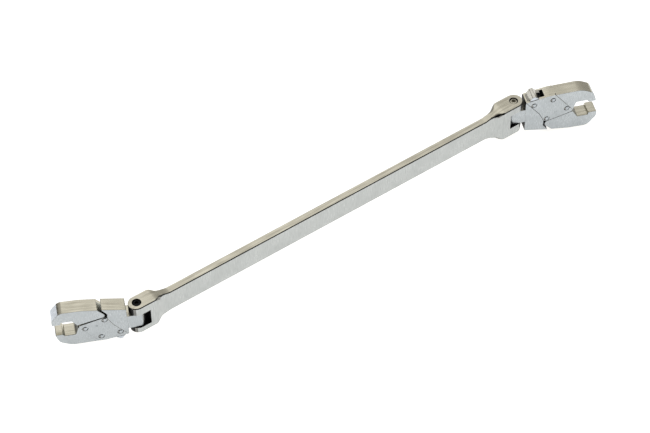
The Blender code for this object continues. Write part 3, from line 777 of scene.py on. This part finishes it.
for size, finish in (("small", "black_oxide"), ("large", "bright_screw")):
    finished(
        f"{size}_pin_screw",
        flex_screw(size),
        Matrix.Scale(MM, 4),
        "handle",
        (LOOKS[finish],),
        ACROSS,
        [f"{size}_flex_screw"],
    )

# %% [markdown]
# ## The head bodies
# Rear block, spine and fixed jaw are one forging, and the tang is part of it. The outline follows the CAD
# source. The moving jaw turns on a pivot near its root, so the seat in the body is an arc about the jaw's
# nose in its open place.

# %% Body outline
JAW_PIVOT = Vector((15.95, -4.36))
JAW_OPEN = math.radians(7.0)
NOSE_CENTRE = Vector((16.9, -7.83))
NOSE_RADIUS = 1.75
SLIDE_SLOPE = 16.5
SLIDE_START = Vector((16.419, -5.942))


def slide_line(x):
    """Height of the straight seam between the covers and the moving jaw."""
    return SLIDE_START.y + (x - SLIDE_START.x) * math.tan(math.radians(SLIDE_SLOPE))


def body_outline():
    """Rear block, spine and fixed jaw, down to the seat that the jaw's nose turns in."""
    top = rounded(
        [
            (5.4, -6.0, 0), (5.0, 8.5, 0.6), (15.9, 10.52, 14.0), (32.2, 10.7, 9.0), (38.0, 7.5, 4.0),
            (39.8, 1.85, 0.5), (36.2, 1.85, 0.3), (35.2, 3.1, 0.3), (29.9, 3.1, 0.9), (28.3, -2.42, 0.2),
            (16.42, slide_line(16.42), 0), (15.3, -5.3, 0),
        ]
    )
    open_nose = JAW_PIVOT + Matrix.Rotation(-JAW_OPEN, 2) @ (NOSE_CENTRE - JAW_PIVOT)
    seat = [Vector((14.35, -6.15))] + arc(open_nose, NOSE_RADIUS + GAP, 155, 217)
    foot = rounded(
        [(*seat[-1], 0), (17.2, -12.2, 0.3), (11.8, -11.1, 20.0), (5.4, -9.8, 0.5), (5.0, 8.5, 0)]
    )
    return top[1:] + seat + foot[1:-1]


print("the body's outline has", len(body_outline()), "points")

# %% [markdown]
# Pockets for the two covers, room for the jaw's tongue and lever, and the thumb slot are milled out of the
# forging. Each pocket is a seam wider than its cover, and open past the body's own edges.

# %% Head cutters
SEAM = 0.2
COVER_CORNER = Vector((15.056, -6.346))
COVER_CORNER_RADIUS = 1.65
FRONT_SEAM_NORMAL = Vector((0.798, 0.603))
SLOT_START = Vector((5.0, 8.5))
SLOT_SLOPE = math.radians(10.42)
HEAD_HALF = 3.6
WEB_HALF = 2.35
LEVER_HALF = 0.8
TONGUE_RADIUS = 2.3


def along_slot(s, n):
    """The point s along the head's rear top edge and n above it."""
    return SLOT_START + Matrix.Rotation(SLOT_SLOPE, 2) @ Vector((s, n))


def recess_outline(front_seam):
    """The pocket for a cover. Its front seam is the slanting one behind the mouth."""
    tighter = FRONT_SEAM_NORMAL * (SEAM - front_seam)
    grown = (COVER_CORNER_RADIUS + SEAM) / COVER_CORNER_RADIUS
    corner = JAW_PIVOT + (COVER_CORNER - JAW_PIVOT) * grown
    return rounded(
        [
            (5.35 - SEAM, 8.5, 0), (12.2 - SEAM, -0.2 - SEAM / 2, 8.0),
            (*corner, COVER_CORNER_RADIUS + SEAM), (29.3 - tighter.x, -2.4 - tighter.y, 0),
            (18.5 - tighter.x, 11.9 - tighter.y, 0), (5.35 - SEAM, 11.9, 0),
        ]
    )


def head_cutters(size):
    scale = SIZES[size]["scale"]
    pocket = recess_outline(SIZES[size]["front_seam"])
    half = (HEAD_HALF - WEB_HALF + THROUGH) / 2
    cutters = [plate("recess", pocket, half, scale, y=side * (WEB_HALF + half)) for side in (-1, 1)]
    tongue = arc(JAW_PIVOT, TONGUE_RADIUS + GAP, 90, 235)
    tongue += [Vector(p) for p in ((17.0, -9.5), (26.6, -5.0), (25.5, -3.25), (22.4, -1.33))]
    cutters.append(plate("tongue_room", tongue, WEB_HALF + GAP, scale))
    lever = ((10.35, 8.6), (10.35, 5.2), (13.3, -4.0), (17.6, -3.0), (15.5, 7.3), (13.2, 8.6))
    cutters.append(plate("lever_room", [Vector(p) for p in lever], LEVER_HALF + GAP, scale))
    slot = ((1.0, 2.0, 0), (1.0, -2.0, 0), (9.4, -2.0, 1.0), (9.4, 2.0, 0))
    slot = rounded([(*along_slot(s, n), radius) for s, n, radius in slot])
    # A hair wider than the tongue's room, because the Boolean fails on faces that lie in one plane.
    cutters.append(plate("thumb_slot", slot, WEB_HALF + GAP + 0.002, scale))
    bore = [(0, 12), (SCREW_RADIUS + RUN, 12), (SCREW_RADIUS + RUN, -12), (0, -12)]
    cutters.append(turned("pin_bore", bore))
    # The walls that these cutters open get the painted shade.
    return cutters


print("a cover's pocket has", len(recess_outline(SEAM)), "points")

# %% [markdown]
# The seat and the jaw's nose turn against each other, and a rule gives their faces the painted shade of the
# seam between them. The tang is a round-ended lug, joined to the forging by a Boolean union before anything
# is cut.

# %% Head bodies
EDGE_BREAK = 0.17
TANG_BREAK = 0.2
TANG_LENGTH = 7.5
SEAT_END = 17.6
SEAT_TOP = -5.2
NOSE_END = 19.0
FORGED = {size: [LOOKS[f"{size}_{part}"] for part in ("face", "edge", "tip")] for size in SIZES}


def in_seat(size):
    """Rules that pick the walls round the jaw's nose, in the body and on the jaw, for the painted shade."""
    scale = SIZES[size]["scale"]
    depth = SIZES[size]["seat_shade_depth"] * scale

    # Painted shade on the seat's walls, down to the given depth.
    def seat(place, normal):
        return normal.x > 0.25 and place.x < SEAT_END * scale and -depth < place.z < SEAT_TOP * scale

    def nose(place, normal):
        return normal.x < -0.2 and place.x < NOSE_END * scale and place.z > -depth

    return seat, nose


def tang_mesh():
    """The round-ended lug between the fork's ears, seen from above as an outline."""
    outline = arc(Vector((0, 0)), TANG_RADIUS, 90, 270)
    outline += [Vector((TANG_LENGTH, -TANG_RADIUS)), Vector((TANG_LENGTH, TANG_RADIUS))]
    tang = plate("tang", outline, TANG_HALF_HEIGHT, 1.0, edge=TANG_BREAK, lying=True)
    tang.materials.append(GROUND)
    return tang


def head_piece(size, kind, mesh, body, looks, replaced, through=None):
    """A finished piece of one head. Its wide faces look through the head, if nothing else is said."""
    if through is None:
        through = HEAD_PLACE[size].col[1].to_3d().normalized()
    stands_for = [f"{size}_{node}" for node in replaced]
    finished(f"{size}_{kind}", mesh, HEAD_PLACE[size], f"{size}_{body}", looks, through, stands_for)


for size, spec in SIZES.items():
    forging = plate("forging", body_outline(), HEAD_HALF, spec["scale"], edge=EDGE_BREAK)
    forging = worked(f"{size}_body_forging", forging, head_cutters(size), [tang_mesh()], in_seat(size)[0])
    head_piece(size, "body_forging", forging, "head", FORGED[size], ["head_body"])

# %% [markdown]
# ## The moving jaws
# Each jaw is one forging with a tongue round its pivot, out of sight, and a thin lever up to the slider; both
# carry the painted shade. The jaw itself is as thick as the head, and only its lower edge, its tip and its
# mouth show when it is closed.

# %% Moving jaws
HEEL = Vector((18.9, -12.35))
PIVOT_RADIUS = 1.0


def jaw_outline(slide_seam):
    """The moving jaw, from the mouth's root round to its nose and heel, with the seam under the covers."""
    loose = slide_seam - GAP
    heel_side = math.degrees(math.atan2(HEEL.y - NOSE_CENTRE.y, HEEL.x - NOSE_CENTRE.x)) + 360
    nose = arc(NOSE_CENTRE, NOSE_RADIUS - loose / 2, SLIDE_SLOPE + 90, heel_side - 70)
    rest = rounded(
        [
            (18.5, -11.93, 0), (18.9, -12.38, 0.3), (27.0, -13.68, 15.0), (36.5, -13.95, 3.5),
            (40.6, -8.8, 3.0), (40.7, -5.5, 0.5), (36.6, -5.5, 0.2), (36.4, -6.88, 0.2), (31.2, -6.88, 0.5),
            (28.55 + 0.3 * loose, -2.63 - loose, 0.2), (20.0, slide_line(20.0) - slide_seam, 0),
        ]
    )
    return nose + rest[1:-1]


def jaw_forging(size):
    scale = SIZES[size]["scale"]
    jaw = plate("jaw", jaw_outline(SIZES[size]["slide_seam"]), HEAD_HALF, scale, edge=EDGE_BREAK)
    tongue = arc(JAW_PIVOT, TONGUE_RADIUS, 90, 235)
    tongue += [Vector(p) for p in ((17.0, -8.5), (26.0, -5.0), (25.2, -3.5), (22.3, -1.6))]
    lever = rounded([(15.0, -4.6, 0), (16.9, -4.1, 0), (13.75, 6.9, 0.5), (11.75, 6.9, 0.5)])
    # The tongue and the lever carry the painted shade.
    joined = [plate("tongue", tongue, WEB_HALF, scale), plate("lever", lever, LEVER_HALF, scale)]
    hole = [(0, 5), (PIVOT_RADIUS + RUN, 5), (PIVOT_RADIUS + RUN, -5), (0, -5)]
    pivot = JAW_PIVOT * scale
    hole = turned("pivot_hole", hole, (pivot.x, 0, pivot.y), "Y")
    return worked(f"{size}_jaw_forging", jaw, [hole], joined, in_seat(size)[1])


for size in SIZES:
    jaw = jaw_forging(size)
    head_piece(size, "jaw_forging", jaw, "jaw", FORGED[size], ["moving_jaw"])

# %% [markdown]
# ## The side covers
# The covers were blanked from sheet, so their edges are barely broken. They lie flush in their pockets, and
# the seam round them is a deep line, dark from its depth and from the painted shade on its walls. Each has
# four countersunk holes.

# %% Side covers
RIVETS = (Vector((9.15, 6.05)), Vector((18.27, 7.44)), Vector((25.45, 0.14)))
RIVET_HOLE = 1.46
COUNTERSINK = 0.5
COVER_EDGE = 0.06
COVER_CLEAR = 0.03


def cover_outline():
    """The kite-shaped side cover, with its lower corner round the jaw's pivot."""
    return rounded(
        [
            (5.35, 8.565, 0), (12.2, -0.2, 8.0), (*COVER_CORNER, COVER_CORNER_RADIUS),
            (28.1, slide_line(28.1), 0.2), (28.1, -1.12, 0.2), (19.2, 10.62, 0.3), (15.9, 10.52, 8.0),
        ]
    )


def rivet_hole(place, side):
    """A countersunk hole from one side of the head."""
    narrow = PIVOT_RADIUS + RUN
    profile = [(0, 1.2), (RIVET_HOLE + 0.05, 1.2), (RIVET_HOLE + 0.05, 0), (RIVET_HOLE, -0.05)]
    profile += [(RIVET_HOLE - 0.08, -COUNTERSINK), (narrow, -COUNTERSINK), (narrow, -2), (0, -2)]
    hole = turned("rivet_hole", profile, axis="Y")
    if side < 0:
        hole.transform(Matrix.Rotation(math.pi, 4, "Z"))
    hole.transform(Matrix.Translation((place.x, side * HEAD_HALF, place.y)))
    return hole


def side_cover(size, side):
    scale = SIZES[size]["scale"]
    inner = WEB_HALF + COVER_CLEAR
    half = (HEAD_HALF - inner) / 2
    cover = plate("cover", cover_outline(), half, scale, edge=COVER_EDGE, y=side * (inner + half))
    # The walls of the countersunk holes get the painted shade.
    return worked("cover", cover, [rivet_hole(place * scale, side) for place in (*RIVETS, JAW_PIVOT)])


for size in SIZES:
    for side, name in ((-1, "front"), (1, "back")):
        cover = side_cover(size, side)
        looks = FORGED[size][:2]
        head_piece(size, f"{name}_plate", cover, "head", looks, [f"{name}_cover"])

# %% [markdown]
# ## The rivets
# Three rivets and the jaw's pivot pin go through each head, and every one shows a low domed head at both
# ends. The same head is repeated sixteen times, so Geometry Nodes make it: a disc is extruded and narrowed
# step by step into a dome, and put on every point of a small mesh of places, turned to that point's outward
# direction. The tree ends in Realize Instances, because an instance has no mesh of its own.

# %% The rivet tree
DISC_SIDES = 32
DOME_STEPS = ((0.64, 0.75), (0.36, 0.5))
RIVET_SIZES = ("Head radius", "Rim height", "Dome height", "Shank radius", "Shank length")


def rivet_tree():
    """Rivet heads on points. Each dome step has its share of the height, and how much it narrows."""
    tree = bpy.data.node_groups.new("riveted_heads", "GeometryNodeTree")
    inputs = [("Geometry", "Geometry"), *((name, "Float") for name in RIVET_SIZES), ("Finish", "Material")]
    for name, kind in inputs:
        tree.interface.new_socket(name, in_out="INPUT", socket_type=f"NodeSocket{kind}")
    tree.interface.new_socket("Geometry", in_out="OUTPUT", socket_type="NodeSocketGeometry")
    given = add_node(tree, "NodeGroupInput").outputs
    disc = [("Vertices", DISC_SIDES), ("Radius", given["Shank radius"])]
    shape = add_node(tree, "GeometryNodeMeshCircle", disc, fill_type="NGON").outputs["Mesh"]
    widening = [(0, given["Head radius"]), (1, given["Shank radius"])]
    widen = add_node(tree, "ShaderNodeMath", widening, operation="DIVIDE").outputs[0]
    steps = [(given["Shank length"], 1.0), (0.0, widen), (given["Rim height"], 1.0)]
    for share, narrow in DOME_STEPS:
        rising = [(0, given["Dome height"]), (1, share)]
        steps.append((add_node(tree, "ShaderNodeMath", rising, operation="MULTIPLY").outputs[0], narrow))
    top = None
    for rise, narrow in steps:
        links = [("Mesh", shape), ("Offset Scale", rise), ("Individual", False)]
        if top is not None:
            links.append(("Selection", top))
        grown = add_node(tree, "GeometryNodeExtrudeMesh", links, mode="FACES")
        top = grown.outputs["Top"]
        scaling = [("Geometry", grown.outputs["Mesh"]), ("Selection", top), ("Scale", narrow)]
        shape = add_node(tree, "GeometryNodeScaleElements", scaling).outputs[0]
    named = [("Name", "outward")]
    outward = add_node(tree, "GeometryNodeInputNamedAttribute", named, data_type="FLOAT_VECTOR")
    facing = [("Vector", outward.outputs["Attribute"])]
    turn = add_node(tree, "FunctionNodeAlignRotationToVector", facing, axis="Z").outputs[0]
    placing = [("Points", given["Geometry"]), ("Instance", shape), ("Rotation", turn)]
    placed = add_node(tree, "GeometryNodeInstanceOnPoints", placing).outputs[0]
    real = add_node(tree, "GeometryNodeRealizeInstances", [("Geometry", placed)]).outputs[0]
    plated = add_node(tree, "GeometryNodeSetMaterial", [("Geometry", real), ("Material", given["Finish"])])
    add_node(tree, "NodeGroupOutput", [("Geometry", plated.outputs[0])])
    return tree


RIVETED = rivet_tree()
print(RIVETED.name, "has", len(RIVETED.nodes), "nodes")

# %% [markdown]
# Each head gets its own mesh of places. The rivet heads are a little narrower than their countersinks, so a
# thin shadow shows round them, and the countersinks' walls carry the painted shade as well.

# %% Rivets in place
def riveted(name, places, values):
    """The mesh that the tree makes from (place, outward) pairs, with its inputs set by their names."""
    points = bpy.data.meshes.new(name)
    points.from_pydata([place for place, outward in places], [], [])
    outward = points.attributes.new("outward", "FLOAT_VECTOR", "POINT")
    outward.data.foreach_set("vector", [value for place, direction in places for value in direction])
    piece = linked(name, points)
    modifier = piece.modifiers.new("rivets", "NODES")
    modifier.node_group = RIVETED
    for item in RIVETED.interface.items_tree:
        if item.item_type == "SOCKET" and item.in_out == "INPUT" and item.name in values:
            modifier[item.identifier] = values[item.name]
    piece.update_tag()
    return baked(piece, name)


DOME = {**dict(zip(RIVET_SIZES, (1.38, 0.26, 0.45, 0.8, 0.35))), "Finish": LOOKS["rivet"]}
RIVET_START = HEAD_HALF - 0.76
RIVETED_NODES = ["cover_rivet_1", "cover_rivet_2", "cover_rivet_3", "jaw_pivot"]
for size, spec in SIZES.items():
    spots = [place * spec["scale"] for place in (*RIVETS, JAW_PIVOT)]
    places = [((spot.x, side * RIVET_START, spot.y), (0, side, 0)) for spot in spots for side in (-1, 1)]
    heads = riveted(f"{size}_rivet_heads", places, DOME)
    head_piece(size, "rivet_heads", heads, "head", [LOOKS["rivet"]], RIVETED_NODES, ACROSS)

# %% [markdown]
# ## The thumb sliders
# A slider is a shoe in the slot, a gabled ridge for the thumb, and a tab down to the jaw's lever. A low ramp
# beside the neck fills the back of the slot. The neck, the shoe and the tab carry the painted shade. The
# ridge's sides take the jaw tips' pale tint, a painted reflection, and its top was polished, so it is the
# head's brightest piece.

# %% Thumb sliders
GABLE = ((1.9, GAP, 0.1), (3.6, 2.2, 0.5), (5.0, 2.2, 0.5), (6.6, GAP, 0.1))
RIDGE_EDGE = 0.22
SLIDER_BLOCKS = (
    ("skirt", ((1.1, -0.7), (2.6, -0.7), (2.6, 0.5), (1.1, 0.0)), WEB_HALF + 0.1),
    ("neck", ((2.2, -1.0), (6.2, -1.0), (5.4, 1.2), (3.2, 1.2)), WEB_HALF - 0.1),
    ("shoe", ((1.3, -1.75), (7.6, -1.75), (7.6, -0.7), (1.3, -0.7)), WEB_HALF),
    ("tab", ((5.1, -3.4), (6.1, -3.4), (6.1, -1.2), (5.1, -1.2)), LEVER_HALF),
    ("ramp", ((4.6, -0.9), (7.7, -0.9), (7.7, 0.3), (5.4, 1.1), (4.6, 1.1)), 0.9),
)
# Only the skirt and the ramp keep the ground marker; the neck, the shoe and the tab get the painted shade.
GROUND_BLOCKS = ("skirt", "ramp")
RAMP_SIDE = WEB_HALF - 1.0


def slider_mesh(size):
    """The ridge with its blocks joined on. A block's corners are (along the slot, above it)."""
    scale = SIZES[size]["scale"]
    gable = rounded([(*along_slot(s, n), radius) for s, n, radius in GABLE])
    ridge = plate("ridge", gable, HEAD_HALF - 0.1, scale, edge=RIDGE_EDGE)
    joined = []
    for name, corners, half in SLIDER_BLOCKS:
        side = RAMP_SIDE * scale if name == "ramp" else 0.0
        joined.append(plate(name, [along_slot(s, n) for s, n in corners], half, scale, y=side))
        if name in GROUND_BLOCKS:
            joined[-1].materials.append(GROUND)
    return worked(f"{size}_slider", ridge, (), joined)


for size in SIZES:
    looks = [LOOKS[f"{size}_tip"], LOOKS["slider"]]
    slider = slider_mesh(size)
    head_piece(size, "gabled_slider", slider, "slider", looks, ["thumb_slider"])

# %% [markdown]
# ## The size numbers
# A small number is etched in each front cover: the size of its nut in millimetres. A text curve becomes a
# mesh before its place is applied, and lies a hundredth of a millimetre proud of the cover so that the two
# never fight.

# %% Etched numbers
NUMBER_PLACE = Vector((20.2, -0.9))
NUMBER_HEIGHT = 1.9
NUMBER_HALF = 0.006
NUMBER_PROUD = 0.005


def etched_number(size):
    text = bpy.data.curves.new("number", "FONT")
    text.body = SIZES[size]["number"]
    text.size = NUMBER_HEIGHT
    text.extrude = NUMBER_HALF
    text.align_x = "CENTER"
    text.align_y = "CENTER"
    mesh = baked(linked("number", text), f"{size}_number")
    upright = Matrix.Rotation(math.pi / 2, 4, "X")
    if SIZES[size]["up"] < 0:
        upright = Matrix.Rotation(math.pi, 4, "Y") @ upright
    spot = NUMBER_PLACE * SIZES[size]["scale"]
    mesh.transform(Matrix.Translation((spot.x, -HEAD_HALF - NUMBER_PROUD, spot.y)) @ upright)
    return mesh


for size in SIZES:
    number = etched_number(size)
    head_piece(size, "size_number", number, "head", [LOOKS["etch"]], (), ACROSS)

# %% [markdown]
# ## Inside pieces
# The friction plungers and their springs keep their CAD shapes, because only glints of them can be seen, and
# get the finish of turned steel and drawn wire. A jaw spring is a copy of the CAD coil in drawn wire, shown
# in place of the CAD coil.

# %% Inside pieces
def jaw_spring(size):
    """The jaw's spring: a copy of the CAD coil in drawn wire, shown in place of the CAD coil."""
    kept = nodes[f"{size}_jaw_spring"]
    mesh = kept.data.copy()
    mesh.transform(kept.matrix_world)
    mesh.materials.clear()
    mesh.materials.append(LOOKS["wire"])
    coil = linked(f"{size}_coil_spring", mesh)
    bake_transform(coil)
    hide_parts(kept.name)
    print(coil.name, "closes up between the head and the lever")


for size in SIZES:
    jaw_spring(size)
    for piece, look in (("plunger_spring", "wire"), ("friction_plunger", "bright_screw")):
        kept = nodes[f"{size}_{piece}"]
        kept.data.materials.clear()
        kept.data.materials.append(LOOKS[look])
        print(kept.name, "is", LOOKS[look].name)

# %% [markdown]
# ## Studio
# Metal needs something to mirror. The faces towards the camera mirror the pale floor, and the narrow edges
# mirror the light above and behind. In front it is darker, so the broken edges between them draw a thin dark
# line. The floor is opal acrylic that glows a little, as on a light table, which keeps the shadows faint.

# %% Floor
FLOOR_HALF = 4.0
FLOOR_DROP = 0.0004
FLOOR_GLOW = 0.78
TOOTH_SIZE = 2


def opal_acrylic():
    """Opal acrylic that is lit from below: white, matt, and a little uneven."""
    look, tree, shader = new_look("opal_acrylic_light_table")
    shader.inputs["Roughness"].default_value = 0.9
    shader.inputs["Emission Color"].default_value = (1.0, 1.0, 1.0, 1.0)
    shader.inputs["Emission Strength"].default_value = FLOOR_GLOW
    place = add_node(tree, "ShaderNodeTexCoord").outputs["Object"]
    fine = [("Vector", place), ("Scale", 1 / (TOOTH_SIZE * MM)), ("Detail", 2.0)]
    tooth = add_node(tree, "ShaderNodeTexNoise", fine).outputs["Fac"]
    whites = [("Factor", tooth), (6, linear("#f9f9f9")), (7, linear("#fdfdfd"))]
    white = add_node(tree, "ShaderNodeMix", whites, data_type="RGBA").outputs[2]
    tree.links.new(white, shader.inputs["Base Color"])
    return look


shape = bmesh.new()
bmesh.ops.create_grid(shape, x_segments=2, y_segments=2, size=FLOOR_HALF)
floor_mesh = bpy.data.meshes.new("pale_floor")
shape.to_mesh(floor_mesh)
shape.free()
floor_mesh.transform(Matrix.Translation((0, 0, -FLOOR_DROP)))
floor_mesh.materials.append(opal_acrylic())
linked("pale_floor", floor_mesh)
print("floor", 2 * FLOOR_HALF, "m across")

# %% [markdown]
# The world is one big soft light, high up and a little to the right and the back, that fades to a dark room
# near the horizon in front and on the left. The ramp reads how near a direction is to that light's middle.
# One weak softbox overhead adds a highlight with a direction.

# %% Room and light
LIGHT_MIDDLE = Vector((0.35, 0.36, 0.87)).normalized()
DARK_ROOM = "#1c1c1e"
SKY = ((0.0, DARK_ROOM), (0.3, DARK_ROOM), (0.52, "#d2d0cc"), (0.85, "#f3f1ee"))
SKY_STRENGTH = 0.65
SOFTBOX_PLACE = Vector((0.35, 0.36, 1.5))
SOFTBOX_SIDE = 1.6
SOFTBOX_WATTS = 5.0


def studio_room():
    world = bpy.data.worlds.new("studio_room")
    bpy.context.scene.world = world
    world.use_nodes = True
    tree = world.node_tree
    background = tree.nodes["Background"]
    direction = add_node(tree, "ShaderNodeTexCoord").outputs["Generated"]
    nearness = add_node(
        tree, "ShaderNodeVectorMath", [(0, direction), (1, LIGHT_MIDDLE)], operation="DOT_PRODUCT"
    ).outputs["Value"]
    ramp = add_node(tree, "ShaderNodeValToRGB", [("Fac", nearness)])
    stops = ramp.color_ramp.elements
    while len(stops) < len(SKY):
        stops.new(0.5)
    for stop, (place, colour) in zip(stops, SKY):
        stop.position = place
        stop.color = linear(colour)
    tree.links.new(ramp.outputs["Color"], background.inputs["Color"])
    background.inputs["Strength"].default_value = SKY_STRENGTH


def softbox():
    light = bpy.data.lights.new("overhead_softbox", "AREA")
    light.shape = "RECTANGLE"
    light.size = SOFTBOX_SIDE
    light.size_y = SOFTBOX_SIDE
    light.energy = SOFTBOX_WATTS
    lamp = linked("overhead_softbox", light)
    lamp.location = SOFTBOX_PLACE
    lamp.rotation_mode = "QUATERNION"
    lamp.rotation_quaternion = SOFTBOX_PLACE.to_track_quat("Z", "Y")


studio_room()
softbox()
print("one softbox and a bright room")

# %% [markdown]
# The camera looks down at 49 degrees, turned 35 degrees round to the wrench's small end. Its distance and
# focal length give the small amount of perspective that a product picture has. The shifts are shares of the
# frame's width, and move the wrench a little off the middle.

# %% Camera
AZIMUTH = math.radians(-35.4)
ELEVATION = math.radians(49.3)
DISTANCE = 1.081
LENS = 121.5
SENSOR_WIDTH = 36.0
SHIFT_X = -0.0116
SHIFT_Y = -0.0098

level = math.cos(ELEVATION)
back = Vector((math.sin(AZIMUTH) * level, -math.cos(AZIMUTH) * level, math.sin(ELEVATION)))
lens = bpy.data.cameras.new("camera")
lens.sensor_width = SENSOR_WIDTH
lens.lens = LENS
lens.shift_x = SHIFT_X
lens.shift_y = SHIFT_Y
lens.clip_start = 0.01
lens.clip_end = 20.0
camera = linked("camera", lens)
pins = [Vector(joints[f"{size}_flex"]["pos_m"]) for size in SIZES]
camera.location = (pins[0] + pins[1]) / 2 + back * DISTANCE
camera.rotation_mode = "QUATERNION"
camera.rotation_quaternion = back.to_track_quat("Z", "Y")
bpy.context.scene.camera = camera
bpy.context.scene.view_settings.view_transform = "Standard"
print("camera at", [round(value, 3) for value in camera.location])

# %% [markdown]
# Last, the scene is brought up to date.

# %% Last update
bpy.context.view_layer.update()
